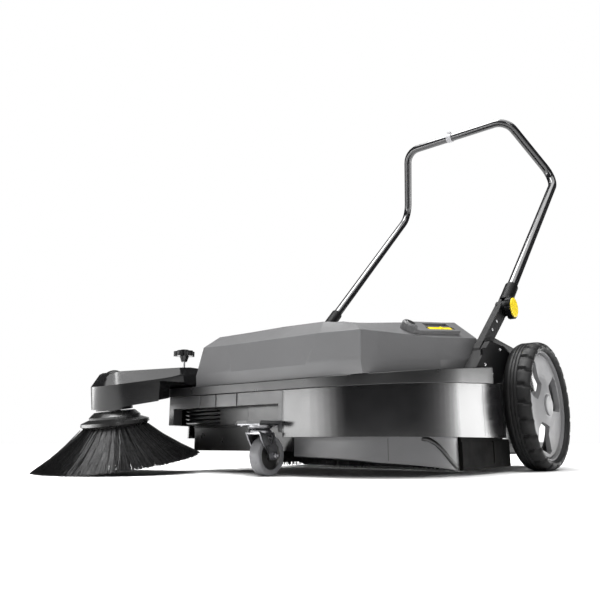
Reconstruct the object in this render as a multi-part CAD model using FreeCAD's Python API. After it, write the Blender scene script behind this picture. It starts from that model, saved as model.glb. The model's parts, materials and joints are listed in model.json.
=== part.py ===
import FreeCAD, Part
import math
import os

# Manual walk behind sweeper, millimetres.
# +X forward, +Y to the machine's left, +Z up, origin on the floor under the wheel axle.

V = FreeCAD.Vector
X_AXIS, Y_AXIS, Z_AXIS = V(1, 0, 0), V(0, 1, 0), V(0, 0, 1)

# Wheels
WHEEL_R = 139.0            # outer radius of the tyre, also the axle height
WHEEL_IN, WHEEL_OUT = 285.0, 338.0
RIM_R = 120.0
SHAFT_R = 10.0
FIT = 0.05                 # radial clearance of every shaft in its hole

# Hull
FRONT_X = 550.0            # front face of the skirt
HULL_HALF = 293.0
LEFT_CORNER_R, RIGHT_CORNER_R = 190.0, 32.0
SKIRT_Z0, SKIRT_WALL = 68.0, 4.0
RIM_GROW = 7.0             # how far the rim band stands out past the skirt
WHEEL_FRONT = 148.0        # where the skirt ends in front of the wheel
CHEEK_IN, CHEEK_OUT = 262.0, 276.0

# Main roller brush and its tunnel
ROLLER_X, ROLLER_Z, ROLLER_R = 272.0, 111.5, 110.0
CORE_R = 42.0
ROLLER_HALF = 222.0
TUNNEL_R, TUNNEL_WALL = 122.0, 4.0

# Push handle: fold axis, then the tube's corners
PIVOT_X, PIVOT_Z = 26.0, 360.0
TUBE_R, TUBE_WALL, TUBE_Y = 12.0, 2.0, 259.0
SLEEVE_END = V(-42, TUBE_Y, 425)
TUBE_BEND = V(-498, TUBE_Y, 860)
TUBE_TOP = V(-354, 172, 1035)

# Side brush
HUB = V(654, -314, 104)    # centre of the brush head
TILT = 8.4                 # the spindle leans forward
SIDE_R, SIDE_DEPTH = 157.0, 79.0
SPINDLE_R = 12.0
ARM_PIVOT = V(484, -262, 194)
NOSE_R = 54.0              # rounded end of the arm above the brush
ARM_SHOULDER, ARM_SLOPE = 176.0, 10.8

# Castor
CASTOR_X, CASTOR_TRAIL, CASTOR_R = 566.0, 20.0, 36.0
CASTOR_TOP = 91.7          # underside of the castor shelf

# Waste container
BIN_X0, BIN_X1, BIN_HALF, BIN_Z0, BIN_Z1 = -272.0, 130.0, 244.0, 34.0, 292.0
BIN_WALL = 3.5


def box(x0, x1, y0, y1, z0, z1):
    return Part.makeBox(x1 - x0, y1 - y0, z1 - z0, V(x0, y0, z0))


def cyl(r, h, pos, axis=Z_AXIS):
    return Part.makeCylinder(r, h, pos, axis)


def cyl_y(r, x, z, y0, y1):
    return Part.makeCylinder(r, y1 - y0, V(x, y0, z), Y_AXIS)


def prism_xz(points, y0, y1):
    wire = Part.makePolygon([V(x, y0, z) for x, z in points + points[:1]])
    return Part.Face(wire).extrude(V(0, y1 - y0, 0))


def prism_xy(points, z0, z1):
    wire = Part.makePolygon([V(x, y, z0) for x, y in points + points[:1]])
    return Part.Face(wire).extrude(V(0, 0, z1 - z0))


def fuse(first, *rest):
    return first.multiFuse(list(rest)).removeSplitter() if rest else first


def mirror_y(shape):
    return shape.mirror(V(0, 0, 0), Y_AXIS)


def turned(shape, centre, axis, degrees):
    copy = shape.copy()
    copy.rotate(centre, axis, degrees)
    return copy


def ring_y(profile, x, z):
    """Revolve a closed (radius, y) profile about the Y axis through (x, z)."""
    wire = Part.makePolygon([V(x, y, z + r) for r, y in profile + profile[:1]])
    return Part.Face(wire).revolve(V(x, 0, z), Y_AXIS, 360)


def ring_z(profile, x, y):
    """Revolve a closed (radius, z) profile about the vertical through (x, y)."""
    wire = Part.makePolygon([V(x + r, y, z) for r, z in profile + profile[:1]])
    return Part.Face(wire).revolve(V(x, y, 0), Z_AXIS, 360)


def patch(a, b, c, d):
    """One four-cornered skin panel; twisted panels become ruled surfaces."""
    corners = [a, b, c, d]
    normal = (b - a).cross(c - a)
    if abs((d - a).dot(normal)) < 1e-6 * normal.Length:
        return Part.Face(Part.makePolygon(corners + [a]))
    return Part.makeRuledSurface(Part.makeLine(a, b), Part.makeLine(d, c))


# ---------------------------------------------------------------- hull

def outline(z, grow=0.0):
    """Plan of the hull at height z: straight front, large rounded front left corner."""
    front, half, back = FRONT_X + grow, HULL_HALF + grow, WHEEL_FRONT - grow

    def corner(radius, side):
        r = radius + grow
        cx, cy = front - r, side * (half - r)
        mid = V(cx + r * math.sqrt(0.5), cy + side * r * math.sqrt(0.5), z)
        return V(front, cy, z), mid, V(cx, side * half, z)
    l0, l1, l2 = corner(LEFT_CORNER_R, 1)
    r0, r1, r2 = corner(RIGHT_CORNER_R, -1)
    rear_left, rear_right = V(back, half, z), V(back, -half, z)
    edges = [Part.makeLine(r0, l0), Part.Arc(l0, l1, l2).toShape(), Part.makeLine(l2, rear_left),
             Part.makeLine(rear_left, rear_right), Part.makeLine(rear_right, r2),
             Part.Arc(r2, r1, r0).toShape()]
    return Part.Face(Part.Wire(edges))


def rim_low(x):
    """Height of the rim band's lower edge; the hull rises toward the rear."""
    return 152.0 + (FRONT_X - x) * 0.061


def rim_high(x):
    return 170.0 + (FRONT_X - x) * 0.105


def below_rim():
    x0, x1 = 100.0, 600.0
    return prism_xz([(x0, 0), (x1, 0), (x1, rim_low(x1)), (x0, rim_low(x0))], -330, 330)


def chassis_shell():
    skirt = outline(SKIRT_Z0).extrude(V(0, 0, 130))
    skirt = skirt.cut(outline(SKIRT_Z0 - 1, -SKIRT_WALL).extrude(V(0, 0, 132))).common(below_rim())
    skirt = skirt.cut(box(480, 560, -278, 40, 60, 200)).cut(box(480, 560, -300, -262, 60, 94))
    skirt = skirt.cut(box(140, 160, -CHEEK_IN, CHEEK_IN, 60, 200))
    deck = outline(140, -2).extrude(V(0, 0, 4))
    deck = deck.cut(box(130, ROLLER_X + TUNNEL_R + 5, -259, 259, 130, 150))
    deck = deck.cut(box(520, 560, -275, 40.5, 130, 150))
    parts = [skirt, deck]
    for side in (1, -1):
        lo, hi = sorted((side * CHEEK_IN, side * CHEEK_OUT))
        cheek = prism_xz([(-255, 60), (200, 60), (200, 140), (154, 172), (146, 232), (-150, 232),
                          (-255, 190)], lo, hi)
        cheek = cheek.cut(cyl_y(SHAFT_R + FIT, 0, WHEEL_R, lo - 1, hi + 1))
        y0, y1 = sorted((side * (CHEEK_IN + 2), side * 290))
        parts += [cheek, box(WHEEL_FRONT, 154, y0, y1, 70, 170)]
    return fuse(*parts)


def rim_band():
    body = outline(140, RIM_GROW).extrude(V(0, 0, 100))
    inner = outline(139, -26).extrude(V(0, 0, 102))
    wedge = prism_xz([(WHEEL_FRONT + 2, rim_low(WHEEL_FRONT + 2)), (600, rim_low(600)),
                      (600, rim_high(600)), (WHEEL_FRONT + 2, rim_high(WHEEL_FRONT + 2))], -330, 330)
    return body.cut(inner).common(wedge).cut(box(100, 213, -310, 310, 140, 260))


def front_frame():
    """Bridge under the rim on the right: grooved band, leg, castor mount."""
    band = box(524, FRONT_X - 0.5, -274, 39.5, 127, rim_low(FRONT_X) - 0.2)
    for y in (-181, -135, -77):
        band = band.cut(box(FRONT_X - 2.0, FRONT_X + 1, y, y + 2.5, 120, 160))
    leg = prism_xy([(524, -274), (549.5, -274), (549.5, -259), (524, -262)], 94, 128)
    post = box(524, FRONT_X - 0.5, 29, 39.5, 77, 128)
    top = CASTOR_TOP
    shelf = prism_xy([(513, -78), (552, -78), (572, -42), (596, -29), (602, 0), (596, 29), (562, 38.5),
                      (513, 38.5)], top, top + 5)
    wall = box(513, 517, -75.5, 38.5, top, 128)
    gusset = box(514, 549, 34.5, 38.5, top + 4, 125)
    return fuse(band, leg, post, shelf, wall, gusset)


def intake_louvre():
    """Slatted air inlet behind the window of the front frame."""
    panel = box(508, 512, -256, -76, 94, 139)
    slats = [prism_xz([(512, z), (521, z + 3), (521, z + 5), (512, z + 3.5)], -254, -160)
             for z in (96, 104, 112, 120, 128)]
    return fuse(panel, *slats)


def front_baffle():
    """Low box behind the castor, between the intake and the floor."""
    plate = box(494, 498, -246, 20, 43, 108)
    wing = box(420, 498, -250, -246, 43, 108)
    shelf = box(498, 504, -246, 20, 90, 93.5)
    return fuse(plate, wing, shelf)


def front_apron():
    """Curved panel under the skirt; its lower edge drops from castor to the side."""
    spine = Part.BSplineCurve()
    spine.interpolate([V(497, 24, 0), V(486, 120, 0), V(470, 190, 0), V(430, 250, 0), V(345, 279, 0)])
    edge = spine.toShape()
    inner = edge.copy()
    inner.translate(V(-4, -3, 0))
    face = Part.makeRuledSurface(edge, inner)
    body = face.extrude(V(0, 0, 110))
    cut = prism_xz([(340, -5), (600, -5), (600, 44), (500, 36), (470, 25), (340, 9)], -10, 330)
    return body.cut(cut)


def side_panel(side):
    """Low side wall with its sealing strip; the left one reaches forward to the apron."""
    front = 341 if side > 0 else 215
    panel = prism_xz([(front, 10), (109, 12), (109, 66), (160, 66), (160, 108), (front, 108)], 277.5, 283)
    lower = prism_xz([(front, 10), (front, 60), (150, 60), (150, 12)], 283, 285)
    panel = fuse(panel, lower, box(196, 200, 283, 287, 20, 62))
    return panel if side > 0 else mirror_y(panel)


def brush_tunnel():
    """Arched cover over the roller with two end plates."""
    half = ROLLER_HALF + 10
    outer = cyl_y(TUNNEL_R + TUNNEL_WALL, ROLLER_X, ROLLER_Z, -half, half)
    inner = cyl_y(TUNNEL_R, ROLLER_X, ROLLER_Z, -half + 4, half - 4)
    arch = outer.cut(inner).cut(box(0, 600, -300, 300, -50, ROLLER_Z - 60))
    ends = [cyl_y(20, ROLLER_X, ROLLER_Z, s * (half - 2) - 2, s * (half - 2) + 2) for s in (1, -1)]
    body = fuse(arch, *ends)
    body = body.cut(cyl_y(8 + FIT, ROLLER_X, ROLLER_Z, -300, 300))
    throw = box(100, ROLLER_X - 60, -220, 220, 60, 132)
    return body.cut(throw)


def hood_rails(inset, side):
    """Skin lines of one half of the hood, each from the nose to the rear edge.

    The shoulder above the brush arm is squarer and higher than the left one.
    """
    i = inset
    shoulder, brow = (249, V(490 - i, 158, 270 - i)) if side > 0 else (254, V(492 - i, 188, 280 - i))
    base = [V(547 - i, 0, 170), V(547 - i, 95, 170.5), V(538 - i, 206 - i, 171.5),
            V(331, 246 - i, rim_high(331)), V(156, 251 - i, rim_high(156))]
    crease = [V(550 - i, 0, 194), V(550 - i, 92, 194), V(541 - i, 204 - i, 194),
              V(331, 246 - i, 212), V(156, 251 - i, 231)]
    edge = [V(537 - i, 0, 250 - i), V(537 - i, 113, 250 - i), V(529 - i, 197 - i, shoulder - i),
            V(331, 234 - i, 257 - i), V(156, 246 - i, 276 - i)]
    bevel = [V(500 - i, 0, 280 - i), V(498 - i, 96, 279 - i), brow - V(0, i, 0),
             V(331, 183 - i, 292 - i), V(156, 198 - i, 316 - i)]
    crown = [V(455, 0, 288 - i), V(455, 60, 287 - i), V(455, 110, 284 - i),
             V(331, 110, 293 - i), V(156, 120, 318 - i)]
    ridge = [V(455, 0, 288 - i), V(455, 0, 288 - i), V(455, 0, 288 - i),
             V(331, 0, 299 - i), V(156, 0, 326 - i)]
    return [base, crease, edge, bevel, crown, ridge]


def hood_skin(rails):
    faces = []
    for low, high in zip(rails, rails[1:]):
        for k in range(len(low) - 1):
            pts = [low[k], low[k + 1], high[k + 1], high[k]]
            ring = [p for n, p in enumerate(pts) if (p - pts[n - 1]).Length > 1e-6]
            if len(ring) == 4:
                faces.append(patch(*ring))
            elif len(ring) == 3:
                faces.append(Part.Face(Part.makePolygon(ring + ring[:1])))
    return faces


def hood_solid(inset):
    rails = hood_rails(inset, 1)
    mirrored = [[V(p.x, -p.y, p.z) for p in rail] for rail in hood_rails(inset, -1)]
    faces = hood_skin(rails) + hood_skin(mirrored)
    rear = [rail[-1] for rail in rails] + [rail[-1] for rail in mirrored[-2::-1]]
    faces.append(Part.Face(Part.makePolygon(rear + rear[:1])))
    for half in (rails, mirrored):
        base = half[0]
        hub = [V(p.x, 0, p.z) for p in (base[3], base[4])]
        faces.append(patch(base[3], base[4], hub[1], hub[0]))
        for a, b in ((base[0], base[1]), (base[1], base[2]), (base[2], base[3])):
            faces.append(Part.Face(Part.makePolygon([hub[0], a, b, hub[0]])))
    shell = Part.makeShell(faces)
    shell.sewShape()
    solid = Part.makeSolid(shell)
    if solid.Volume < 0:
        solid.reverse()
    return solid


def hood():
    outer = hood_solid(0.0)
    inner = hood_solid(3.5)
    inner.translate(V(0, 0, -0.05))
    body = outer.cut(inner)
    return body.cut(prism_xz([(100, 150), (600, 150), (600, rim_high(600) + 0.4),
                              (100, rim_high(100) + 0.4)], -300, 300))


# ---------------------------------------------------------------- hull fittings

PANEL_AT = V(268.5, 215.9, 284)  # middle of the adjuster panel on the left bevel
PANEL_LEAN = 36.0              # slope of that bevel


def panel_frame(shape):
    """Place a flat shape (x along the hull, y across, z out) on the left bevel."""
    out = shape.copy()
    out.rotate(V(0, 0, 0), X_AXIS, -PANEL_LEAN)
    out.rotate(V(0, 0, 0), Y_AXIS, 6.9)
    out.rotate(V(0, 0, 0), Z_AXIS, -4.5)
    out.translate(PANEL_AT)
    return out


def adjuster_panel():
    plate = prism_xy([(-62, -19), (100, -19), (122, -12), (122, 12), (100, 18), (-56, 18)], -6, 5)
    boss = fuse(cyl(15, 16, V(113, 0, -6)), Part.makeCone(15, 12.5, 3, V(113, 0, 10)))
    track = box(-46, 60, 1, 11, -1, 8)
    hollow = box(-40, 52, -13, -1.5, 0.5, 8)
    well = cyl(9.3, 20, V(113, 0, 4.5))
    plate = fuse(plate, boss)
    return panel_frame(plate.cut(track).cut(hollow).cut(well)).cut(hood_solid(0.0))


def height_slider():
    strip = box(-38, 49, 1.5, 10.5, -0.4, 4.2)
    lip = box(0, 6, 1.5, 10.5, 4.2, 6)
    return panel_frame(fuse(strip, lip))


def lock_button():
    body = cyl(9.0, 8, V(113, 0, 5.6))
    return panel_frame(body.makeFillet(1.5, [body.Edges[0]]))


def bracket(side):
    """Leaning block that carries one handle arm."""
    foot = 212.7
    block = prism_xz([(250, rim_high(250) + 0.3), (170, 265), (92, 262), (70, 246), (148, 246),
                      (156, 236), (156, rim_low(156) + 0.3), (foot, rim_low(foot) + 0.3),
                      (foot, rim_high(foot) + 0.3)], 253, 281.5)
    wall = prism_xz([(foot, rim_low(foot) + 0.3), (156, rim_low(156) + 0.3), (118, 182), (60, 226),
                     (60, 250), (92, 262), (foot, 245)], 276.5, 281.5)
    block = fuse(block, wall).cut(arm_plate(1)).cut(hood())
    return block if side > 0 else mirror_y(block)


def arm_plate(side):
    """Fixed lower arm: a bar out of the bracket ending in a tongue on the fold axis."""
    bar = prism_xz([(206, 226), (176, 226), (36, 338), (58, 362), (193, 250)], 253, 268)
    bar = bar.cut(cyl_y(31, PIVOT_X, PIVOT_Z, 240, 280))
    tongue = prism_xz([(80, 306), (100, 322), (38, 374), (14, 346)], 256, 263)
    body = fuse(bar, tongue, cyl_y(18, PIVOT_X, PIVOT_Z, 256, 263))
    body = body.cut(cyl_y(5 + FIT, PIVOT_X, PIVOT_Z, 240, 280))
    return body if side > 0 else mirror_y(body)


def handle_sleeve(side):
    """Clamp casting: a clevis on the fold axis that grips the end of the tube."""
    foot = V(PIVOT_X, TUBE_Y, PIVOT_Z)
    run = (SLEEVE_END - foot).Length
    axis = (SLEEVE_END - foot).normalize()
    core = cyl(15.5, run, foot, axis).cut(cyl_y(30, PIVOT_X, PIVOT_Z, 230, 290))
    body = core
    for y0, y1 in ((248, 255.6), (263.4, 270)):
        cheek = turned(box(0, 38, y0, y1, -12, 12), V(0, 0, 0), Y_AXIS, -math.degrees(
            math.atan2(axis.z, axis.x)))
        cheek.translate(V(PIVOT_X, 0, PIVOT_Z))
        body = fuse(body, cheek, cyl_y(18, PIVOT_X, PIVOT_Z, y0, y1))
    bore = cyl(TUBE_R + FIT, 200, foot + axis * 42, axis)
    body = body.cut(bore).cut(cyl_y(5 + FIT, PIVOT_X, PIVOT_Z, 220, 290))
    return body if side > 0 else mirror_y(body)


def clamp_knob(side):
    """Black lobed clamp knob outside the handle casting."""
    body = cyl_y(26, PIVOT_X, PIVOT_Z, 273, 285)
    for k in range(12):
        a = math.radians(30 * k)
        body = body.cut(cyl_y(3.2, PIVOT_X + 27.5 * math.cos(a), PIVOT_Z + 27.5 * math.sin(a), 270, 300))
    neck = cyl_y(15, PIVOT_X, PIVOT_Z, 270.4, 273)
    body = fuse(body, neck).cut(cyl_y(22.5, PIVOT_X, PIVOT_Z, 283, 300))
    return body if side > 0 else mirror_y(body)


def clamp_screw(side):
    """Screw of the clamp knob, through the casting and the fixed arm."""
    body = cyl_y(5, PIVOT_X, PIVOT_Z, 246, 270.4)
    return body if side > 0 else mirror_y(body)


def knob_cap(side):
    body = cyl_y(22.4, PIVOT_X, PIVOT_Z, 283, 287.5)
    body = body.makeFillet(1.5, [e for e in body.Edges if abs(e.CenterOfMass.y - 287.5) < 0.1])
    return body if side > 0 else mirror_y(body)


def rounded_path(points, radii):
    """Polyline in space with an arc at each inner corner."""
    edges, last = [], points[0]
    for before, corner, after, radius in zip(points, points[1:], points[2:], radii):
        u = (before - corner).normalize()
        w = (after - corner).normalize()
        half = u.getAngle(w) / 2
        reach = radius / math.tan(half)
        centre = corner + (u + w).normalize() * (radius / math.sin(half))
        middle = centre + (corner - centre).normalize() * radius
        start, end = corner + u * reach, corner + w * reach
        edges += [Part.makeLine(last, start), Part.Arc(start, middle, end).toShape()]
        last = end
    return Part.Wire(edges + [Part.makeLine(last, points[-1])])


def handle_tube():
    """One bent tube: up the left arm, over the crossbar, down the right arm."""
    foot = V(PIVOT_X, TUBE_Y, PIVOT_Z)
    start = foot + (SLEEVE_END - foot).normalize() * 43
    left = [start, TUBE_BEND, TUBE_TOP]
    right = [V(p.x, -p.y, p.z) for p in reversed(left)]
    path = rounded_path(left + right, [55, 58, 58, 55])

    def pipe(r):
        ring = Part.Wire(Part.Circle(start, (TUBE_BEND - start).normalize(), r).toShape())
        return path.makePipeShell([ring], True, False)
    return pipe(TUBE_R).cut(pipe(TUBE_R - TUBE_WALL))


def handle_clip():
    """Small spring clip on top of the crossbar."""
    x, z = TUBE_TOP.x, TUBE_TOP.z
    ring = cyl_y(TUBE_R + 2.2, x, z, -24, -8).cut(cyl_y(TUBE_R + 0.02, x, z, -40, 60))
    tab = box(x + 1, x + 9, -22, -10, z + TUBE_R + 1, z + TUBE_R + 7)
    return fuse(ring, tab)


# ---------------------------------------------------------------- wheels

def tyre(side):
    a, b = WHEEL_IN, WHEEL_OUT + 4
    body = ring_y([(RIM_R, a + 6), (124, a + 1), (130, a), (135.5, a + 5), (WHEEL_R, a + 15),
                   (WHEEL_R, b - 15), (136.5, b - 4), (130, b), (124, b - 1), (RIM_R, b - 10)], 0, WHEEL_R)
    notch = prism_xz([(-4, 0), (4, 0), (4, 12), (-4, 12)], b - 18, b + 2)
    for k in range(24):
        cutter = notch.copy()
        cutter.translate(V(0, 0, WHEEL_R + 132.5))
        body = body.cut(turned(cutter, V(0, 0, WHEEL_R), Y_AXIS, 15 * k))
    return body if side > 0 else mirror_y(body)


def wheel_rim(side):
    """Three-spoke rim: drum, dished face with three openings, hub."""
    a, b = WHEEL_IN, WHEEL_OUT
    body = ring_y([(SHAFT_R + 6, a + 4), (SHAFT_R + 6, b - 4), (28, b - 4), (64, b - 13), (104, b - 11),
                   (110, b - 11), (111, b - 15), (114, b - 15), (115, b - 6), (RIM_R, b - 6),
                   (RIM_R, a + 6), (112, a + 6), (110, b - 22), (64, b - 22), (32, b - 16),
                   (30, a + 4)], 0, WHEEL_R)
    opening = prism_xz([(-24, 42), (24, 42), (42, 92), (30, 101), (-30, 101), (-42, 92)], a + 15, b + 2)
    opening.translate(V(0, 0, WHEEL_R))
    for k in range(3):
        body = body.cut(turned(opening, V(0, 0, WHEEL_R), Y_AXIS, 120 * k + 48))
    return body if side > 0 else mirror_y(body)


def hub_cap(side):
    body = cyl_y(23, 0, WHEEL_R, WHEEL_OUT - 4, WHEEL_OUT)
    body = body.makeFillet(2.5, [e for e in body.Edges if abs(e.CenterOfMass.y - WHEEL_OUT) < 0.1])
    return body if side > 0 else mirror_y(body)


def wheel_shaft(side):
    """Axle stub with its collar and, inside the cheek, the belt pulley."""
    shaft = cyl_y(SHAFT_R, 0, WHEEL_R, 248, WHEEL_OUT - 4)
    sleeve = cyl_y(SHAFT_R + 6, 0, WHEEL_R, WHEEL_IN + 4, WHEEL_OUT - 4)
    body = fuse(shaft, sleeve, cyl_y(14, 0, WHEEL_R, 277, WHEEL_IN + 4))
    if side > 0:
        pulley = ring_y([(8, 248), (44, 248), (44, 249.5), (41, 250), (41, 258), (44, 258.5), (44, 260),
                         (8, 260)], 0, WHEEL_R)
        return fuse(body, pulley)
    return mirror_y(fuse(body, cyl_y(16, 0, WHEEL_R, 248, 261)))


# ---------------------------------------------------------------- roller and drive

ROLLER_PULLEY_R = 15.0


def roller_core():
    tube = cyl_y(CORE_R, ROLLER_X, ROLLER_Z, -ROLLER_HALF, ROLLER_HALF)
    shaft = cyl_y(8, ROLLER_X, ROLLER_Z, -246, 262)
    pulley = ring_y([(4, 249), (18, 249), (18, 250), (ROLLER_PULLEY_R, 250.5), (ROLLER_PULLEY_R, 257.5),
                     (18, 258), (18, 259), (4, 259)], ROLLER_X, ROLLER_Z)
    return fuse(tube, shaft, pulley)


def roller_bristles():
    """Eight rows of bristles standing on a sleeve over the core."""
    half = ROLLER_HALF - 4
    sleeve = cyl_y(CORE_R + 4, ROLLER_X, ROLLER_Z, -half, half)
    row = box(ROLLER_X + CORE_R + 1, ROLLER_X + ROLLER_R, -half, half, ROLLER_Z - 4, ROLLER_Z + 4)
    row = row.common(cyl_y(ROLLER_R, ROLLER_X, ROLLER_Z, -half, half))
    rows = [turned(row, V(ROLLER_X, 0, ROLLER_Z), Y_AXIS, 45 * k + 22.5) for k in range(8)]
    return fuse(sleeve, *rows).cut(cyl_y(CORE_R, ROLLER_X, ROLLER_Z, -half - 1, half + 1))


def belt_loop(r1, r2, y0, y1):
    """Solid hull of two discs, one at the wheel axle and one at the roller."""
    dx, dz = ROLLER_X, ROLLER_Z - WHEEL_R
    span = math.hypot(dx, dz)
    lean = math.atan2(dz, dx)
    swing = math.acos((r1 - r2) / span)
    corners = []
    for sign in (1, -1):
        a = lean + sign * swing
        corners.append(((r1 * math.cos(a), WHEEL_R + r1 * math.sin(a)),
                        (ROLLER_X + r2 * math.cos(a), ROLLER_Z + r2 * math.sin(a))))
    quad = [corners[0][0], corners[0][1], corners[1][1], corners[1][0]]
    return fuse(cyl_y(r1, 0, WHEEL_R, y0, y1), cyl_y(r2, ROLLER_X, ROLLER_Z, y0, y1),
                prism_xz(quad, y0, y1))


def drive_belt():
    gap = 0.4
    inner = belt_loop(41 + gap, ROLLER_PULLEY_R + gap, 250, 260)
    return belt_loop(44 + gap, ROLLER_PULLEY_R + 3 + gap, 251.2, 256.8).cut(inner)


# ---------------------------------------------------------------- castor

def castor_plate():
    """Mounting plate with the lower half of the swivel bearing."""
    plate = box(CASTOR_X - 30, CASTOR_X + 30, -27, 27, CASTOR_TOP - 2.7, CASTOR_TOP)
    cup = ring_z([(5, 83), (20, 83), (23, 86), (23, 89), (5, 89)], CASTOR_X, 0)
    return fuse(plate, cup).cut(cyl(6 + FIT, 40, V(CASTOR_X, 0, 60)))


def castor_fork():
    """Swivel crown with two swept cheeks and the axle bolt."""
    cx = CASTOR_X - CASTOR_TRAIL
    crown = ring_z([(0.01, 76), (21, 76), (22, 79), (18, 82.6), (0.01, 82.6)], CASTOR_X, 0)
    body = fuse(crown, cyl(6, 7, V(CASTOR_X, 0, 82)))
    for side in (1, -1):
        y0, y1 = sorted((side * 14.5, side * 17.5))
        cheek = prism_xz([(CASTOR_X - 20, 77), (CASTOR_X + 19, 77), (CASTOR_X + 12, 63), (cx + 9, 29),
                          (cx - 7, 29), (cx - 10, 43)], y0, y1)
        body = fuse(body, cheek, cyl_y(8, cx, CASTOR_R, y0, y1))
    top = box(CASTOR_X - 20, CASTOR_X + 18, -17.5, 17.5, 73.5, 77)
    bolt = fuse(cyl_y(4, cx, CASTOR_R, -21, 21), cyl_y(6.5, cx, CASTOR_R, 17.5, 21),
                cyl_y(6.5, cx, CASTOR_R, -21, -17.5))
    return fuse(body, top, bolt)


def castor_tyre():
    return ring_y([(25, -11), (34, -12), (CASTOR_R - 0.5, -9), (CASTOR_R, -5), (CASTOR_R, 5),
                   (CASTOR_R - 0.5, 9), (34, 12), (25, 11)], CASTOR_X - CASTOR_TRAIL, CASTOR_R)


def castor_hub():
    cx = CASTOR_X - CASTOR_TRAIL
    return ring_y([(4 + FIT, -13.5), (9, -13.5), (9, -7), (22, -7), (25, -10), (25, 10), (22, 7),
                   (9, 7), (9, 13.5), (4 + FIT, 13.5)], cx, CASTOR_R)


# ---------------------------------------------------------------- side brush

def tilted(shape):
    return turned(shape, HUB, Y_AXIS, TILT)


def arm_bracket():
    """Clevis on the rim's front right corner that holds the brush arm."""
    x, y, z = ARM_PIVOT
    parts = [box(x - 27, x - 8, y - 32, y + 32, 180, 183), box(x - 27, x - 19, y - 32, y + 32, 182, z - 2),
             box(x - 27, x - 19, y + 2, y + 30, 144.2, 181)]
    for y0, y1 in ((y - 32, y - 26), (y + 26, y + 32)):
        parts.append(prism_xz([(x - 20, 180), (x + 12, 180), (x + 10, z + 9), (x - 10, z + 9),
                               (x - 20, z - 2)], y0, y1))
    guard = [(x - 20, 180), (545, rim_high(545) + 0.4), (545, 190), (505, 200), (x - 20, 196)]
    parts.append(prism_xz(guard, y - 32, y - 26))
    return fuse(*parts).cut(cyl_y(5 + FIT, x, z, y - 40, y + 40))


def arm_section(h, nose_r, inset):
    """Plan of the arm at height h over its shoulder line."""
    y = ARM_PIVOT.y
    centre = V(HUB.x, HUB.y, h)
    left = centre + V(0.36, 0.93, 0).normalize() * nose_r
    right = centre + V(-0.12, -0.99, 0).normalize() * nose_r
    tip = centre + V(0.8, -0.6, 0) * nose_r
    ring = [right, V(560, -338 + inset, h), V(552, y - 25, h), V(468, y - 25, h), V(468, y + 25, h),
            V(502, y + 25, h), V(560, y + 42 - inset, h), left]
    edges = [Part.Arc(left, tip, right).toShape()]
    return Part.Wire(edges + [Part.makeLine(p, q) for p, q in zip(ring, ring[1:])])


def arm_housing():
    """Arm from the hull's shelf forward over the brush: drafted nose, bevelled top."""
    x, y, z = ARM_PIVOT
    walls = Part.makeLoft([arm_section(-90, NOSE_R + 3, 0), arm_section(0, NOSE_R - 2, 0)], True, True)
    top = Part.makeLoft([arm_section(0, NOSE_R - 2, 0), arm_section(36, NOSE_R - 32, 27)], True, True)
    body = fuse(walls, top)
    body.rotate(V(HUB.x, y, 0), Y_AXIS, ARM_SLOPE)
    body.translate(V(0, 0, ARM_SHOULDER))
    profile = prism_xz([(467, 186), (562, rim_high(562) + 5), (562, 150), (605, 141), (725, 116),
                        (725, 160), (700, 176), (686, 192), (672, 198), (560, 212), (530, 215),
                        (500, 215), (467, 204)], -400, -200)
    body = body.common(profile).cut(box(540, 606, -262, -200, 110, 181))
    body = fuse(body, tilted(cyl(36, 26, HUB + V(0, 0, 20))))
    spindle = tilted(cyl(SPINDLE_R + FIT, 56, HUB))
    pin = cyl_y(5, x, z, y - 31, y + 31)
    return fuse(body.cut(spindle), pin).cut(cyl(2.5 + FIT, 60, V(532, -254, 184)))


def arm_dome():
    """Small round cap on top of the arm over the spindle."""
    body = Part.makeSphere(26, V(0, 0, 0)).common(box(-30, 30, -30, 30, 17, 30))
    body.translate(V(662, HUB.y, 177))
    return body.cut(arm_housing())


def star_knob():
    """Five-lobed knob on a threaded rod."""
    x, y, z = 532, -254, 240
    body = cyl(17, 11, V(x, y, z))
    for k in range(5):
        a = math.radians(72 * k + 20)
        body = fuse(body, cyl(7.5, 11, V(x + 15.5 * math.cos(a), y + 15.5 * math.sin(a), z)))
    neck = Part.makeCone(6, 10, 12, V(x, y, z - 12))
    cap = cyl(9, 3, V(x, y, z + 11))
    return fuse(body, neck, cap).cut(cyl(2.5, 20, V(x, y, z - 14)))


def star_rod():
    return cyl(2.5, 60, V(532, -254, 186))


def side_hub():
    """Brush head disc with its spindle, square to the tilted axis."""
    disc = ring_z([(0.01, HUB.z - 16), (58, HUB.z - 16), (67, HUB.z - 8), (66, HUB.z - 2), (50, HUB.z + 4),
                   (50, HUB.z + 8), (40, HUB.z + 17), (0.01, HUB.z + 17)], HUB.x, HUB.y)
    spindle = cyl(SPINDLE_R, 42, HUB + V(0, 0, 3))
    return tilted(fuse(disc, spindle))


def side_bristles():
    """Flared skirt of bristles as one closed solid, resting just off the floor."""
    x, y, z = HUB.x, HUB.y, HUB.z
    body = tilted(ring_z([(28, z - 16), (57, z - 16), (108, z - 48), (SIDE_R, z - SIDE_DEPTH + 4),
                          (SIDE_R - 6, z - SIDE_DEPTH), (SIDE_R - 50, z - SIDE_DEPTH), (76, z - 56)], x, y))
    return body.cut(box(x - 300, x + 300, y - 300, y + 300, -100, 1.5))


# ---------------------------------------------------------------- container

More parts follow.
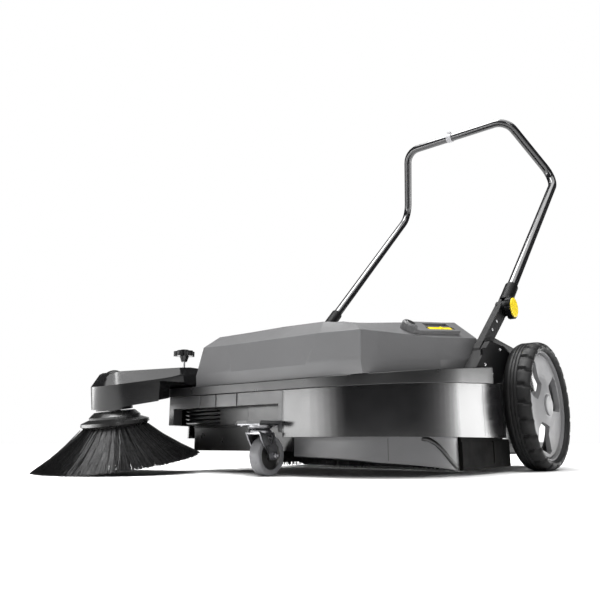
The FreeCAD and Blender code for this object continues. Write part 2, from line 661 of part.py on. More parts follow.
def container_tub():
    """Hollow bin, open at the front where the roller throws the dirt in."""
    def body(w):
        pts = [(BIN_X0 + w, 60), (BIN_X0 + 25 + w, BIN_Z0 + w), (BIN_X1 - w, BIN_Z0 + w),
               (BIN_X1 - w, 250), (100, 284 - w), (40, BIN_Z1 - w), (BIN_X0 + 70, 270 - w),
               (BIN_X0 + w, 225)]
        return prism_xz(pts, -BIN_HALF + w, BIN_HALF - w)
    shell = body(0).cut(body(BIN_WALL))
    shell = shell.cut(box(100, BIN_X1 + 5, -218, 218, 62, 134))
    recess = box(BIN_X0 - 1, BIN_X0 + 26, -85, 85, 120, 190)
    pocket = box(BIN_X0 + 0.5, BIN_X0 + 30, -89, 89, 116, 194).common(body(0))
    shell = fuse(shell, pocket).cut(recess)
    for s in (1, -1):
        shell = shell.cut(cyl_y(3 + FIT, BIN_X0 + 12, 180, s * 87 - 4, s * 87 + 4))
    return shell


def container_grip():
    """Folding carry grip in the rear recess."""
    x, z = BIN_X0 + 12, 180
    bar = cyl_y(7, x, z - 44, -72, 72)
    arms = [box(x - 5, x + 5, s * 75 - 5, s * 75 + 5, z - 51, z + 6) for s in (1, -1)]
    pins = [cyl_y(3, x, z, min(s * 70, s * 88), max(s * 70, s * 88)) for s in (1, -1)]
    return fuse(bar, *arms, *pins)


def rear_flap():
    """Rubber lip across the hull behind the roller."""
    return box(136, 140, -236, 236, 6, 60)


NODES = {
    "chassis_shell": chassis_shell, "rim_band": rim_band, "front_frame": front_frame,
    "intake_louvre": intake_louvre, "front_baffle": front_baffle, "front_apron": front_apron,
    "left_side_panel": lambda: side_panel(1), "right_side_panel": lambda: side_panel(-1),
    "brush_tunnel": brush_tunnel, "hood": hood, "adjuster_panel": adjuster_panel,
    "height_slider": height_slider, "lock_button": lock_button,
    "left_bracket": lambda: bracket(1), "right_bracket": lambda: bracket(-1),
    "left_arm_plate": lambda: arm_plate(1), "right_arm_plate": lambda: arm_plate(-1),
    "left_sleeve": lambda: handle_sleeve(1), "right_sleeve": lambda: handle_sleeve(-1),
    "handle_tube": handle_tube, "handle_clip": handle_clip,
    "left_clamp_knob": lambda: clamp_knob(1), "right_clamp_knob": lambda: clamp_knob(-1),
    "left_clamp_screw": lambda: clamp_screw(1), "right_clamp_screw": lambda: clamp_screw(-1),
    "left_knob_cap": lambda: knob_cap(1), "right_knob_cap": lambda: knob_cap(-1),
    "left_tyre": lambda: tyre(1), "right_tyre": lambda: tyre(-1),
    "left_rim": lambda: wheel_rim(1), "right_rim": lambda: wheel_rim(-1),
    "left_hub_cap": lambda: hub_cap(1), "right_hub_cap": lambda: hub_cap(-1),
    "left_shaft": lambda: wheel_shaft(1), "right_shaft": lambda: wheel_shaft(-1),
    "roller_core": roller_core, "roller_bristles": roller_bristles, "drive_belt": drive_belt,
    "castor_plate": castor_plate, "castor_fork": castor_fork, "castor_tyre": castor_tyre,
    "castor_hub": castor_hub, "arm_bracket": arm_bracket, "arm_housing": arm_housing,
    "arm_dome": arm_dome, "star_knob": star_knob, "star_rod": star_rod, "side_hub": side_hub,
    "side_bristles": side_bristles, "container_tub": container_tub,
    "container_grip": container_grip, "rear_flap": rear_flap,
}


def main():
    os.makedirs("parts", exist_ok=True)
    for name, make in NODES.items():
        solid = make().Solids[0]
        solid.exportStep("parts/" + name + ".step")
        print(name, solid.isValid(), round(solid.Volume / 1000, 2))


main()
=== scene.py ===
import json
import math
import random

import bmesh
import bpy
from mathutils import Matrix, Vector


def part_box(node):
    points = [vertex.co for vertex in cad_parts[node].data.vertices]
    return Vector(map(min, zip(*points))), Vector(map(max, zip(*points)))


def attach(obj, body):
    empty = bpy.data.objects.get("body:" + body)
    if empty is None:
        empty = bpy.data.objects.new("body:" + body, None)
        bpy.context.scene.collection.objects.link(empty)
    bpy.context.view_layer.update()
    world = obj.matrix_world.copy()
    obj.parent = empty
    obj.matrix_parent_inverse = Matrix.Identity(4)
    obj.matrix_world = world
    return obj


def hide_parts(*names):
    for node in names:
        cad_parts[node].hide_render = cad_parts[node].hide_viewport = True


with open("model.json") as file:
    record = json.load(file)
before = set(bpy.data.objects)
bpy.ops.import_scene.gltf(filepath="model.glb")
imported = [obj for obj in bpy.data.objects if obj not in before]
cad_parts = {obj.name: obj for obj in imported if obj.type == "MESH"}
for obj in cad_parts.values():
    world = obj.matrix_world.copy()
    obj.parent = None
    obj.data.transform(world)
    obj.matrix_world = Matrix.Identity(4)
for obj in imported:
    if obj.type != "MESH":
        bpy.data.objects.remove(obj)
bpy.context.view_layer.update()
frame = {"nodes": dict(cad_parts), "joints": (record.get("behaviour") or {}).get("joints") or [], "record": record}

MM = 0.001
NODES = frame["nodes"]
JOINTS = {j["name"]: j for j in frame["joints"]}


# ---------------------------------------------------------------- materials

def shader(name, colour, roughness, metallic=0.0, spec=0.5, coat=0.0, coat_rough=0.05):
    mat = bpy.data.materials.new(name)
    mat.use_nodes = True
    bsdf = mat.node_tree.nodes["Principled BSDF"]
    bsdf.inputs["Base Color"].default_value = (*colour, 1)
    bsdf.inputs["Roughness"].default_value = roughness
    bsdf.inputs["Metallic"].default_value = metallic
    bsdf.inputs["Specular IOR Level"].default_value = spec
    bsdf.inputs["Coat Weight"].default_value = coat
    bsdf.inputs["Coat Roughness"].default_value = coat_rough
    return mat, mat.node_tree, bsdf


def noise(tree, scale, detail=3.0, stretch=(1, 1, 1)):
    coord = tree.nodes.new("ShaderNodeTexCoord")
    mapping = tree.nodes.new("ShaderNodeMapping")
    mapping.inputs["Scale"].default_value = stretch
    tex = tree.nodes.new("ShaderNodeTexNoise")
    tex.inputs["Scale"].default_value = scale
    tex.inputs["Detail"].default_value = detail
    tree.links.new(coord.outputs["Object"], mapping.inputs["Vector"])
    tree.links.new(mapping.outputs["Vector"], tex.inputs["Vector"])
    return tex.outputs["Fac"]


def remap(tree, value, lo, hi, start=0.3, end=0.7):
    node = tree.nodes.new("ShaderNodeMapRange")
    node.inputs["From Min"].default_value = start
    node.inputs["From Max"].default_value = end
    node.inputs["To Min"].default_value = lo
    node.inputs["To Max"].default_value = hi
    tree.links.new(value, node.inputs["Value"])
    return node.outputs["Result"]


def mix_colour(tree, fac, a, b):
    node = tree.nodes.new("ShaderNodeMix")
    node.data_type = "RGBA"
    node.inputs["A"].default_value = (*a, 1)
    node.inputs["B"].default_value = (*b, 1)
    tree.links.new(fac, node.inputs["Factor"])
    return node.outputs["Result"]


def bump(tree, bsdf, height, strength, distance):
    node = tree.nodes.new("ShaderNodeBump")
    node.inputs["Strength"].default_value = strength
    node.inputs["Distance"].default_value = distance
    tree.links.new(height, node.inputs["Height"])
    tree.links.new(node.outputs["Normal"], bsdf.inputs["Normal"])


def dust(tree, base_fac, height=0.10):
    """Factor that grows toward the floor, broken up by noise: where grime collects."""
    coord = tree.nodes.new("ShaderNodeTexCoord")
    split = tree.nodes.new("ShaderNodeSeparateXYZ")
    tree.links.new(coord.outputs["Object"], split.inputs["Vector"])
    low = remap(tree, split.outputs["Z"], 1.0, 0.0, 0.0, height)
    mul = tree.nodes.new("ShaderNodeMath")
    mul.operation = "MULTIPLY"
    tree.links.new(low, mul.inputs[0])
    tree.links.new(base_fac, mul.inputs[1])
    return mul.outputs["Value"]


def plastic(name, colour, rough, grain=900.0, grain_depth=0.00004, grain_strength=0.25,
            vary=0.25, smudge=0.08, spec=0.5, coat=0.0, dirt=0.35):
    """Moulded plastic: fine grain, cloudy gloss, faint colour change, a little floor dust."""
    mat, tree, bsdf = shader(name, colour, rough, spec=spec, coat=coat)
    cloud = noise(tree, 9.0, 4.0)
    fine = noise(tree, grain, 2.0)
    lighter = tuple(c * (1 + vary) + 0.0015 for c in colour)
    tint = mix_colour(tree, remap(tree, cloud, 0.0, 1.0), colour, lighter)
    grime = dust(tree, remap(tree, noise(tree, 26.0, 6.0), 0.0, dirt, 0.35, 0.75))
    over = tree.nodes.new("ShaderNodeMix")
    over.data_type = "RGBA"
    over.inputs["B"].default_value = (0.16, 0.15, 0.135, 1)
    tree.links.new(grime, over.inputs["Factor"])
    tree.links.new(tint, over.inputs["A"])
    tree.links.new(over.outputs["Result"], bsdf.inputs["Base Color"])
    gloss = noise(tree, 34.0, 5.0)
    tree.links.new(remap(tree, gloss, max(0.03, rough - smudge), rough + smudge), bsdf.inputs["Roughness"])
    bump(tree, bsdf, fine, grain_strength, grain_depth)
    return mat


def metal(name, colour, rough, stretch=(1, 1, 1), scale=160.0):
    """Bare metal with fine streaks and uneven gloss."""
    mat, tree, bsdf = shader(name, colour, rough, metallic=1.0)
    streak = noise(tree, scale, 4.0, stretch)
    darker = tuple(c * 0.72 for c in colour)
    tree.links.new(mix_colour(tree, remap(tree, streak, 0.0, 1.0), darker, colour),
                   bsdf.inputs["Base Color"])
    tree.links.new(remap(tree, noise(tree, 45.0, 5.0), rough * 0.6, rough * 1.6), bsdf.inputs["Roughness"])
    bump(tree, bsdf, streak, 0.15, 0.00005)
    return mat


def rubber(name, colour, rough, dusty=0.5):
    """Rubber with a cloudy grey bloom and a fine grain."""
    mat, tree, bsdf = shader(name, colour, rough, spec=0.25)
    cloud = noise(tree, 22.0, 6.0)
    lighter = tuple(c * 1.5 + 0.004 * dusty for c in colour)
    tree.links.new(mix_colour(tree, remap(tree, cloud, 0.0, 1.0), colour, lighter),
                   bsdf.inputs["Base Color"])
    tree.links.new(remap(tree, noise(tree, 60.0, 5.0), rough - 0.12, rough + 0.12), bsdf.inputs["Roughness"])
    bump(tree, bsdf, noise(tree, 1400.0, 2.0), 0.3, 0.00006)
    return mat


def bristle(name):
    """Stiff plastic fibre: each strand a slightly different black, streaked along its length."""
    mat, tree, bsdf = shader(name, (0.01, 0.01, 0.01), 0.5, spec=0.2)
    streak = noise(tree, 420.0, 2.0, (1, 1, 0.3))
    tree.links.new(mix_colour(tree, remap(tree, streak, 0.0, 1.0), (0.003, 0.003, 0.003),
                              (0.032, 0.032, 0.033)), bsdf.inputs["Base Color"])
    tree.links.new(remap(tree, noise(tree, 90.0, 3.0), 0.40, 0.62), bsdf.inputs["Roughness"])
    bump(tree, bsdf, noise(tree, 1800.0, 1.0, (1, 1, 0.2)), 0.2, 0.00005)
    return mat


MATS = {
    "hull_black": plastic("hull_black", (0.004, 0.004, 0.0044), 0.16, grain=600, grain_strength=0.04,
                          smudge=0.02, spec=0.6, dirt=0.1),
    "trim_black": plastic("trim_black", (0.006, 0.006, 0.0063), 0.30, grain_strength=0.2,
                          smudge=0.03, dirt=0.15),
    "hood_grey": plastic("hood_grey", (0.105, 0.105, 0.107), 0.42, vary=0.06,
                         grain_strength=0.22, smudge=0.05, spec=0.3),
    "signal_yellow": plastic("signal_yellow", (0.80, 0.60, 0.012), 0.32, vary=0.05, grain_strength=0.12),
    "handle_black": plastic("handle_black", (0.006, 0.006, 0.007), 0.16, grain=450, grain_strength=0.08,
                            smudge=0.05, spec=0.7, coat=0.4),
    "clip_grey": plastic("clip_grey", (0.30, 0.30, 0.31), 0.35, vary=0.1),
    "tyre_rubber": rubber("tyre_rubber", (0.005, 0.005, 0.0052), 0.58),
    "rim_grey": plastic("rim_grey", (0.17, 0.17, 0.174), 0.5, vary=0.06, grain_strength=0.15, smudge=0.05,
                        spec=0.3),
    "steel": metal("steel", (0.55, 0.55, 0.56), 0.28, (1, 14, 1)),
    "bristle_black": bristle("bristle_black"),
    "seal_rubber": rubber("seal_rubber", (0.011, 0.011, 0.011), 0.6),
    # zinc base colour set well below real zinc: painted shade, so the castor plate under the machine looks as if
    # it is in shadow
    "zinc": metal("zinc", (0.26, 0.26, 0.27), 0.30),
    "castor_rubber": rubber("castor_rubber", (0.125, 0.125, 0.13), 0.32, 0.2),
}
SPECIAL = {
    # the apron's black plastic gets a mid-grey colour: painted reflection of the bright floor and front lights
    "front_apron": plastic("apron_painted_reflection", (0.085, 0.085, 0.088), 0.34, vary=0.15, grain_strength=0.2,
                           spec=0.6, smudge=0.04, dirt=0.15),
    # the front frame's black plastic gets a dark-grey colour: painted reflection of the front lights
    "front_frame": plastic("frame_painted_reflection", (0.030, 0.030, 0.031), 0.32, vary=0.2, grain_strength=0.2, spec=0.6,
                           smudge=0.04, dirt=0.15),
    "left_side_panel": plastic("panel_matte", (0.002, 0.002, 0.002), 0.7, spec=0.06, dirt=0.04),
    "castor_hub": plastic("castor_hub_black", (0.012, 0.012, 0.012), 0.35),
    "container_tub": plastic("container_satin", (0.005, 0.005, 0.0053), 0.46, grain_strength=0.2, smudge=0.05,
                             spec=0.2, dirt=0.15),
    "side_hub": plastic("brush_disc", (0.010, 0.010, 0.010), 0.26, grain_strength=0.1, spec=0.6),
}
SPECIAL["right_side_panel"] = SPECIAL["left_side_panel"]
ARM_GLOSS = plastic("arm_gloss", (0.003, 0.003, 0.0033), 0.5, grain=500, grain_strength=0.04,
                    smudge=0.03, spec=0.08, dirt=0.05)
for fitting in ("arm_plate", "sleeve", "bracket", "clamp_knob"):
    for side_name in ("left", "right"):
        SPECIAL[f"{side_name}_{fitting}"] = ARM_GLOSS
SLOT_OF = {p["node"]: p["material_slot"] for p in frame["record"]["subparts"]}


def paint(obj, slot_name):
    obj.data.materials.clear()
    obj.data.materials.append(SPECIAL.get(obj.name, MATS[slot_name]))


def soften(obj, width_mm, angle=28, segments=3):
    """Round the moulded edges of a CAD solid with modifiers only."""
    weld = obj.modifiers.new("weld", "WELD")
    weld.merge_threshold = 0.00001
    bevel = obj.modifiers.new("bevel", "BEVEL")
    bevel.width = width_mm * MM
    bevel.segments = segments
    bevel.limit_method = "ANGLE"
    bevel.angle_limit = math.radians(angle)
    bevel.use_clamp_overlap = True
    bevel.harden_normals = True
    normals = obj.modifiers.new("normals", "WEIGHTED_NORMAL")
    normals.keep_sharp = True


EDGE_MM = {
    "hood": 6.0, "rim_band": 1.2, "chassis_shell": 0.8, "front_frame": 1.2, "front_apron": 0.8,
    "arm_housing": 4.5, "left_bracket": 1.8, "right_bracket": 1.8, "left_arm_plate": 1.2,
    "right_arm_plate": 1.2, "left_sleeve": 1.2, "right_sleeve": 1.2, "container_tub": 5.0,
    "adjuster_panel": 1.2, "height_slider": 0.8, "left_rim": 1.4, "right_rim": 1.4,
    "castor_fork": 0.6, "castor_plate": 0.5, "star_knob": 1.2, "side_hub": 1.5,
    "left_clamp_knob": 0.8, "right_clamp_knob": 0.8, "container_grip": 1.5, "front_baffle": 0.6,
    "arm_bracket": 0.7, "left_side_panel": 0.8, "right_side_panel": 0.8, "castor_tyre": 1.2,
    "castor_hub": 0.6, "intake_louvre": 0.4, "lock_button": 0.3, "handle_clip": 0.5,
}

for node_name, node in NODES.items():
    paint(node, SLOT_OF[node_name])
    if node_name in EDGE_MM:
        soften(node, EDGE_MM[node_name])


# ---------------------------------------------------------------- mesh helpers

def piece(name, bm, body, slot_name, node_names=(), smooth=True):
    """Turn a bmesh into a painted object that rides on a body and may replace CAD nodes."""
    mesh = bpy.data.meshes.new(name)
    bmesh.ops.recalc_face_normals(bm, faces=bm.faces)
    bm.to_mesh(mesh)
    bm.free()
    if smooth:
        mesh.polygons.foreach_set("use_smooth", [True] * len(mesh.polygons))
    obj = bpy.data.objects.new(name, mesh)
    bpy.context.scene.collection.objects.link(obj)
    paint(obj, slot_name)
    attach(obj, body)
    if node_names:
        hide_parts(*node_names)
    return obj


def strand(bm, points, radii, sides=3):
    """A thin closed fibre through the points."""
    axis = (points[-1] - points[0]).normalized()
    u = axis.orthogonal().normalized()
    w = axis.cross(u)
    rings = []
    for p, r in zip(points, radii):
        rings.append([bm.verts.new(p + (u * math.cos(t) + w * math.sin(t)) * r)
                      for t in (2 * math.pi * k / sides for k in range(sides))])
    for a, b in zip(rings, rings[1:]):
        for k in range(sides):
            bm.faces.new((a[k], a[(k + 1) % sides], b[(k + 1) % sides], b[k]))
    bm.faces.new(rings[0][::-1])
    bm.faces.new(rings[-1])


def lathe_y(profile, centre, steps, shift=None):
    """Closed (radius, y) profile turned about the Y axis through centre.

    shift(k, j) moves the radius of profile point j at step k.
    """
    bm = bmesh.new()
    rings = []
    for k in range(steps):
        t = 2 * math.pi * k / steps
        ring = []
        for j, (r, y) in enumerate(profile):
            rr = r + (shift(k, j) if shift else 0.0)
            ring.append(bm.verts.new((centre.x + rr * math.cos(t), y, centre.z + rr * math.sin(t))))
        rings.append(ring)
    n = len(profile)
    for k in range(steps):
        a, b = rings[k], rings[(k + 1) % steps]
        for j in range(n):
            bm.faces.new((a[j], a[(j + 1) % n], b[(j + 1) % n], b[j]))
    return bm


SCREW_SIDES = 24


def screw(name, body, pos, normal, radius_mm=4.0, slot_name="steel"):
    """Low domed screw head with a round socket, seated on a surface."""
    r = radius_mm * MM
    bm = bmesh.new()
    rows = [(1.0, -0.25), (1.0, 0.28), (0.86, 0.5), (0.58, 0.6), (0.46, 0.6), (0.44, 0.12), (0.02, 0.12)]
    rings = []
    for f, h in rows:
        turns = [2 * math.pi * k / SCREW_SIDES for k in range(SCREW_SIDES)]
        rings.append([bm.verts.new((f * r * math.cos(t), f * r * math.sin(t), h * r)) for t in turns])
    for a, b in zip(rings, rings[1:]):
        for k in range(SCREW_SIDES):
            bm.faces.new((a[k], a[(k + 1) % SCREW_SIDES], b[(k + 1) % SCREW_SIDES], b[k]))
    bm.faces.new(rings[0][::-1])
    bm.faces.new(rings[-1])
    turn = Vector((0, 0, 1)).rotation_difference(Vector(normal)).to_matrix().to_4x4()
    bm.transform(Matrix.Translation(Vector(pos)) @ turn)
    return piece(name, bm, body, slot_name)


def hit(node_name, origin, direction):
    """First point of a CAD node's surface seen from origin along direction, or None."""
    found, where, _, _ = NODES[node_name].ray_cast(Vector(origin), Vector(direction).normalized())
    return where if found else None


BEAD_SIDES = 8


def bead(name, body, points, radius_mm, slot_name, squash_n=None, flat=1.0):
    """A thin moulded bead or seam line through surface points."""
    r = radius_mm * MM
    bm = bmesh.new()
    rings = []
    for i, p in enumerate(points):
        a, b = points[max(i - 1, 0)], points[min(i + 1, len(points) - 1)]
        t = (b - a).normalized()
        n = Vector(squash_n).normalized() if squash_n else t.orthogonal().normalized()
        n = (n - t * n.dot(t)).normalized()
        s = t.cross(n)
        rings.append([bm.verts.new(p + n * math.cos(q) * r * flat + s * math.sin(q) * r)
                      for q in (2 * math.pi * k / BEAD_SIDES for k in range(BEAD_SIDES))])
    for a, b in zip(rings, rings[1:]):
        for k in range(BEAD_SIDES):
            bm.faces.new((a[k], a[(k + 1) % BEAD_SIDES], b[(k + 1) % BEAD_SIDES], b[k]))
    bm.faces.new(rings[0][::-1])
    bm.faces.new(rings[-1])
    return piece(name, bm, body, slot_name)


# ---------------------------------------------------------------- tyres

TREAD_BLOCKS = 24
STEPS_PER_BLOCK = 10


def tyre(side_name, body):
    """Tyre with fine centre ribs and shoulder blocks cut by angled grooves."""
    lo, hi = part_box(side_name + "_tyre")
    centre = (lo + hi) / 2
    radius = (hi.z - lo.z) / 2
    sign = 1 if centre.y > 0 else -1
    outer, inner = (hi.y, lo.y) if sign > 0 else (lo.y, hi.y)

    def y(f):
        return inner + (outer - inner) * f
    bead_r = radius - 20 * MM
    profile = [(bead_r, y(0.12)), (radius - 14 * MM, y(0.02)), (radius - 8 * MM, y(0.0)),
               (radius - 4 * MM, y(0.05)), (radius - 1.5 * MM, y(0.13))]
    for c in (0.24, 0.36, 0.48):
        profile += [(radius - 0.5 * MM, y(c - 0.045)), (radius, y(c - 0.035)), (radius, y(c + 0.035)),
                    (radius - 0.5 * MM, y(c + 0.045)), (radius - 2.0 * MM, y(c + 0.055)),
                    (radius - 2.0 * MM, y(c + 0.063))]
    shoulder = len(profile)
    profile += [(radius, y(0.56)), (radius, y(0.66)), (radius - 0.3 * MM, y(0.76)),
                (radius - 1.8 * MM, y(0.85)), (radius - 4.5 * MM, y(0.935)),
                (radius - 7 * MM, y(0.975)), (radius - 9.5 * MM, y(1.0))]
    shoulder_end = len(profile)
    profile += [(radius - 10.5 * MM, y(0.985)), (radius - 14 * MM, y(0.99)), (radius - 17 * MM, y(0.96)),
                (bead_r, y(0.88))]
    steps = TREAD_BLOCKS * STEPS_PER_BLOCK

    def groove(k, j):
        if not shoulder <= j < shoulder_end:
            return 0.0
        phase = (k + (j - shoulder) * 0.35) % STEPS_PER_BLOCK
        return -5.0 * MM if phase < 1.9 else 0.0
    bm = lathe_y(profile, centre, steps, groove)
    return piece(side_name + "_tyre_tread", bm, body, "tyre_rubber", [side_name + "_tyre"])


for side_name in ("left", "right"):
    obj = tyre(side_name, side_name + "_wheel")
    mod = obj.modifiers.new("bevel", "BEVEL")
    mod.width = 0.5 * MM
    mod.segments = 2
    mod.limit_method = "ANGLE"
    mod.angle_limit = math.radians(35)


# ---------------------------------------------------------------- brushes

SPIN = JOINTS["side_brush_spin"]
BRUSH_AXIS = Vector(SPIN["axis"]).normalized()
BRUSH_AT = Vector(SPIN["pos_m"])
TIP_R, TIP_DROP = 162 * MM, 86 * MM
ROOT_DROP = 14 * MM            # the fibres start this far below the brush joint
FLOOR_GAP = 1.6 * MM           # no fibre comes closer to the floor
LOOSE_FIBRES = 1700

# root radius mm, tufts, fibres in a tuft, reach, drop, stagger of the tufts
BRUSH_RINGS = ((60, 46, 34, 1.0, 0.985, 0.0), (52, 40, 26, 0.955, 1.0, 0.5), (42, 30, 20, 0.88, 1.0, 0.0))


def side_bristles():
    """Three rings of tufts splayed to the floor, with loose fibres between them."""
    rng = random.Random(11)
    u = BRUSH_AXIS.orthogonal().normalized()
    w = BRUSH_AXIS.cross(u)
    bm = bmesh.new()
    for ring_r, tufts, fibres, reach, drop, stagger in BRUSH_RINGS:
        for n in range(tufts):
            base_angle = 2 * math.pi * (n + stagger) / tufts
            tuft_reach = reach * rng.uniform(0.985, 1.01)
            for _ in range(fibres):
                spread = rng.gauss(0, 0.045)
                root_angle = base_angle + rng.gauss(0, 0.022)
                tip_angle = base_angle + spread
                root_r = (ring_r + rng.gauss(0, 1.6)) * MM
                tip_r = TIP_R * tuft_reach * rng.uniform(0.955, 1.0)
                tip_z = -TIP_DROP * drop * rng.uniform(0.965, 1.0)
                pts = []
                for s in (0.0, 0.35, 0.7, 1.0):
                    a = root_angle + (tip_angle - root_angle) * s
                    r = root_r + (tip_r - root_r) * (s * 0.86 + 0.14 * s * s)
                    z = -ROOT_DROP + (tip_z + ROOT_DROP) * (s * 1.08 - 0.08 * s * s)
                    p = BRUSH_AT + (u * math.cos(a) + w * math.sin(a)) * r + BRUSH_AXIS * z
                    p.z = max(p.z, FLOOR_GAP)
                    pts.append(p)
                strand(bm, pts, [0.95 * MM, 0.9 * MM, 0.8 * MM, 0.45 * MM])
    for _ in range(LOOSE_FIBRES):
        a = rng.uniform(0, 2 * math.pi)
        root_r, tip_r = rng.uniform(38, 56) * MM, TIP_R * rng.uniform(0.86, 0.965)
        tip_z = -TIP_DROP * rng.uniform(0.94, 0.99)
        pts = []
        for s in (0.0, 0.5, 1.0):
            r, z = root_r + (tip_r - root_r) * s, -ROOT_DROP + (tip_z + ROOT_DROP) * s
            p = BRUSH_AT + (u * math.cos(a) + w * math.sin(a)) * r + BRUSH_AXIS * z
            p.z = max(p.z, FLOOR_GAP)
            pts.append(p)
        strand(bm, pts, [0.95 * MM, 0.9 * MM, 0.5 * MM])
    return piece("side_brush_bristles", bm, "side_brush", "bristle_black", ["side_bristles"], smooth=False)


def roller_bristles():
    """Rows of short tufts along the roller, each row bent into a V."""
    rng = random.Random(5)
    lo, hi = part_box("roller_bristles")
    centre = (lo + hi) / 2
    radius, core = (hi.z - lo.z) / 2, 42 * MM
    rows, tufts, fibres = 8, 46, 9
    bm = bmesh.new()
    for row in range(rows):
        for n in range(tufts):
            f = (n + 0.5) / tufts
            twist = 2 * math.pi * row / rows + 0.9 * abs(f - 0.5) * 2
            y0 = lo.y + (hi.y - lo.y) * (0.01 + 0.98 * f)
            for _ in range(fibres):
                a = twist + rng.gauss(0, 0.03)
                tip_a = a + rng.gauss(0, 0.05)
                y1 = min(max(y0 + rng.gauss(0, 3 * MM), lo.y + MM), hi.y - MM)
                tip = radius * rng.uniform(0.965, 0.998)
                p0 = Vector((centre.x + core * math.cos(a), y0, centre.z + core * math.sin(a)))
                p1 = Vector((centre.x + tip * math.cos(tip_a), y1, centre.z + tip * math.sin(tip_a)))
                strand(bm, [p0, p1], [1.1 * MM, 0.7 * MM])
    return piece("roller_brush_bristles", bm, "roller", "bristle_black", ["roller_bristles"], smooth=False)


side_bristles()
roller_bristles()


# ---------------------------------------------------------------- small details

def bead_on(name, body, node_name, starts, direction, radius_mm, slot_name, flat=0.5):
    """Lay a bead where rays from the start points meet a CAD node's surface."""
    pts = []
    for start in starts:
        where = hit(node_name, start, direction)
        if where is not None:
            pts.append(where.copy())
    if len(pts) > 1:
        bead(name, body, pts, radius_mm, slot_name, squash_n=[-d for d in direction], flat=flat)


def row(a, b, count):
    a, b = Vector(a), Vector(b)
    return [a.lerp(b, i / (count - 1)) for i in range(count)]


# vertical parting seams of the skirt and apron
SEAM_MM = 0.45
FROM_LEFT, FROM_FRONT = (0, -1, 0), (-1, 0, 0)
bead_on("skirt_seam_rear", "chassis", "chassis_shell", row((0.254, 0.5, 0.070), (0.254, 0.5, 0.168), 6),
        FROM_LEFT, SEAM_MM, "trim_black")
bead_on("skirt_seam_front", "chassis", "chassis_shell", row((0.8, 0.043, 0.070), (0.8, 0.043, 0.150), 6),
        FROM_FRONT, SEAM_MM, "trim_black")
bead_on("apron_seam", "chassis", "front_apron", row((0.9, 0.205, 0.028), (0.9, 0.205, 0.066), 5),
        FROM_FRONT, SEAM_MM, "trim_black")

# S-shaped lip where the apron meets the side wall
LIP_STEPS = 12
lip = []
for i in range(LIP_STEPS + 1):
    s = i / LIP_STEPS
    x = 0.428 - 0.078 * s
    z = 0.066 - 0.050 * (3 * s * s - 2 * s * s * s)
    where = hit("front_apron", (x, 0.5, z), FROM_LEFT)
    if where is not None:
        lip.append(where.copy())
bead("apron_lip", "chassis", lip, 4.4, "trim_black", squash_n=(0, 1, 0), flat=0.6)

# waste container: stiffening ribs over the lid, a lid seam, two latches
tub_lo, tub_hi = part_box("container_tub")
for i in range(7):
    y = (i - 3) * 0.066
    bead_on(f"container_lid_rib_{i}", "container", "container_tub",
            row((tub_lo.x + 0.085, y, 0.6), (-0.02, y, 0.6), 8), (0, 0, -1), 2.6, "hull_black", 0.8)
bead_on("container_lid_seam", "container", "container_tub",
        row((-0.9, tub_lo.y + 0.006, 0.219), (-0.9, tub_hi.y - 0.006, 0.219), 9),
        (1, 0, 0), 0.9, "trim_black")
for i, y in enumerate((-0.165, 0.165)):
    bm = bmesh.new()
    bmesh.ops.create_cube(bm, size=1.0)
    bmesh.ops.scale(bm, vec=(0.009, 0.052, 0.044), verts=bm.verts)
    top = [v for v in bm.verts if v.co.z > 0 and v.co.x < 0]
    for v in top:
        v.co.x += 0.0055
    bmesh.ops.bevel(bm, geom=bm.edges[:], offset=0.0014, segments=2, affect="EDGES")
    bmesh.ops.translate(bm, vec=(tub_lo.x - 0.0035, y, 0.205), verts=bm.verts)
    piece(f"container_latch_{i}", bm, "container", "trim_black", smooth=False)
for i in range(6):
    y = (i - 2.5) * 0.030
    bead_on(f"container_rear_rib_{i}", "container", "container_tub",
            row((-0.9, y, 0.070), (-0.9, y, 0.108), 4), (1, 0, 0), 1.8, "hull_black", 0.7)

# screws
for side in (1, -1):
    tag = "left" if side > 0 else "right"
    for i, (x, z) in enumerate(((0.205, 0.212), (0.172, 0.196), (0.120, 0.252))):
        where = hit(tag + "_bracket", (x, side * 0.5, z), (0, -side, 0))
        if where is not None:
            screw(f"{tag}_bracket_screw_{i}", "chassis", where, (0, side, 0), 3.6)
    for i, (x, z) in enumerate(((0.120, 0.297), (0.092, 0.320))):
        where = hit(tag + "_arm_plate", (x, side * 0.5, z), (0, -side, 0))
        if where is not None:
            screw(f"{tag}_arm_screw_{i}", "chassis", where, (0, side, 0), 3.4)
lo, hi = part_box("castor_plate")
c = (lo + hi) / 2
for i, (dx, dy) in enumerate(((24, 21), (24, -21), (-24, 21), (-24, -21))):
    screw(f"castor_screw_{i}", "chassis", (c.x + dx * MM, c.y + dy * MM, hi.z - 2.7 * MM), (0, 0, -1), 3.2)
lo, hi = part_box("castor_fork")
wheel = Vector(JOINTS["castor_wheel_spin"]["pos_m"])
for side in (1, -1):
    y = hi.y if side > 0 else lo.y
    screw("castor_bolt_left" if side > 0 else "castor_bolt_right", "castor_swivel",
          (wheel.x, y, wheel.z), (0, side, 0), 5.4, "zinc")


# ---------------------------------------------------------------- stage, lights, camera

def stage_plane():
    bm = bmesh.new()
    bmesh.ops.create_grid(bm, x_segments=2, y_segments=2, size=40.0)
    mesh = bpy.data.meshes.new("floor")
    bm.to_mesh(mesh)
    bm.free()
    obj = bpy.data.objects.new("floor", mesh)
    bpy.context.scene.collection.objects.link(obj)
    obj.data.materials.append(shader("floor_white", (0.93, 0.93, 0.93), 1.0, spec=0.0)[0])


def area(name, at, look, size, size_y, power):
    light = bpy.data.lights.new(name, "AREA")
    light.shape = "RECTANGLE"
    light.size, light.size_y = size, size_y
    light.energy = power
    obj = bpy.data.objects.new(name, light)
    bpy.context.scene.collection.objects.link(obj)
    obj.location = at
    obj.rotation_mode = "QUATERNION"
    obj.rotation_quaternion = (Vector(look) - Vector(at)).to_track_quat("-Z", "Y")


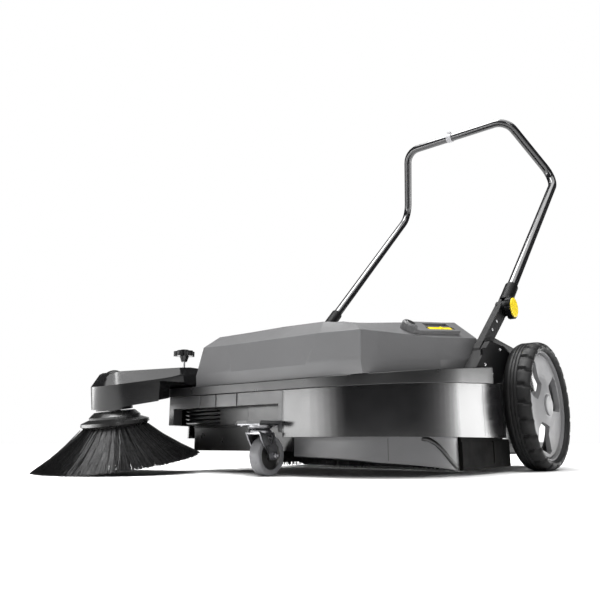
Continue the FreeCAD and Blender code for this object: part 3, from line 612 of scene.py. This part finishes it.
def sun(name, direction, strength, spread):
    light = bpy.data.lights.new(name, "SUN")
    light.energy = strength
    light.angle = math.radians(spread)
    obj = bpy.data.objects.new(name, light)
    bpy.context.scene.collection.objects.link(obj)
    obj.rotation_mode = "QUATERNION"
    obj.rotation_quaternion = Vector(direction).to_track_quat("-Z", "Y")


stage_plane()
sun("ceiling", (-0.12, -0.10, -1.0), 3.4, 75)
LOOK_FRONT, LOOK_LEFT = (0.5, 0.1, 0.12), (0.2, 0.3, 0.12)

# a row of panels round the front, brightest in the middle and fading to both ends
FRONT_PANELS = 13
for i in range(FRONT_PANELS):
    degrees = -88 + 8 * i
    turn = math.radians(degrees)
    at = (0.5 + 3.0 * math.cos(turn), 0.1 + 3.0 * math.sin(turn), 0.24)
    fade = max(0.0, 1 - ((degrees + 46) / 54) ** 2) ** 2
    if fade > 0:
        area(f"front_panel_{i}", at, LOOK_FRONT, 0.46, 0.42, 6.2 * fade)

# a row of panels round the left side, bright at the rear and dimmer toward the front
LEFT_PANELS = 12
for i in range(LEFT_PANELS):
    turn = math.radians(6 + 9 * i)
    at = (0.2 - 2.8 * math.cos(turn), 0.35 + 2.8 * math.sin(turn), 0.25)
    area(f"left_panel_{i}", at, LOOK_LEFT, 0.5, 0.44, 4.4 * min(1.0, 1.22 * (1 - i / LEFT_PANELS)) ** 2.8)
area("key", (2.3, 2.5, 2.7), (0.3, 0.1, 0.25), 1.0, 0.8, 22)
area("crease_strip", (1.9, 2.0, 1.25), (0.45, 0.25, 0.25), 0.25, 0.9, 6)
area("crown_strip", (0.4, -0.3, 2.6), (0.4, 0.0, 0.25), 2.4, 0.9, 95)
area("back_wall", (-2.9, -2.3, 0.9), (0.4, 0.0, 0.2), 3.2, 1.6, 12)

world = bpy.data.worlds.new("studio")
world.use_nodes = True
nodes, links = world.node_tree.nodes, world.node_tree.links
dim = nodes["Background"]
dim.inputs["Color"].default_value = (1, 1, 1, 1)
dim.inputs["Strength"].default_value = 0.055
white = nodes.new("ShaderNodeBackground")
white.inputs["Color"].default_value = (1, 1, 1, 1)
white.inputs["Strength"].default_value = 1.0
seen = nodes.new("ShaderNodeLightPath")
blend = nodes.new("ShaderNodeMixShader")
links.new(seen.outputs["Is Camera Ray"], blend.inputs["Fac"])
links.new(dim.outputs["Background"], blend.inputs[1])
links.new(white.outputs["Background"], blend.inputs[2])
links.new(blend.outputs["Shader"], nodes["World Output"].inputs["Surface"])
bpy.context.scene.world = world
bpy.context.scene.view_settings.view_transform = "Standard"

CAMERA_AT, LENS_MM = (1.413, 0.777, 0.057), 37.33
YAW, PITCH = math.radians(38.9), math.radians(13.0)
camera = bpy.data.cameras.new("camera")
camera.sensor_width = 36.0
camera.lens = LENS_MM
camera.clip_start = 0.05
cam = bpy.data.objects.new("camera", camera)
bpy.context.scene.collection.objects.link(cam)
cam.location = CAMERA_AT
ahead = Vector((-math.cos(PITCH) * math.cos(YAW), -math.cos(PITCH) * math.sin(YAW), math.sin(PITCH)))
cam.rotation_mode = "QUATERNION"
cam.rotation_quaternion = ahead.to_track_quat("-Z", "Y")
bpy.context.scene.camera = cam
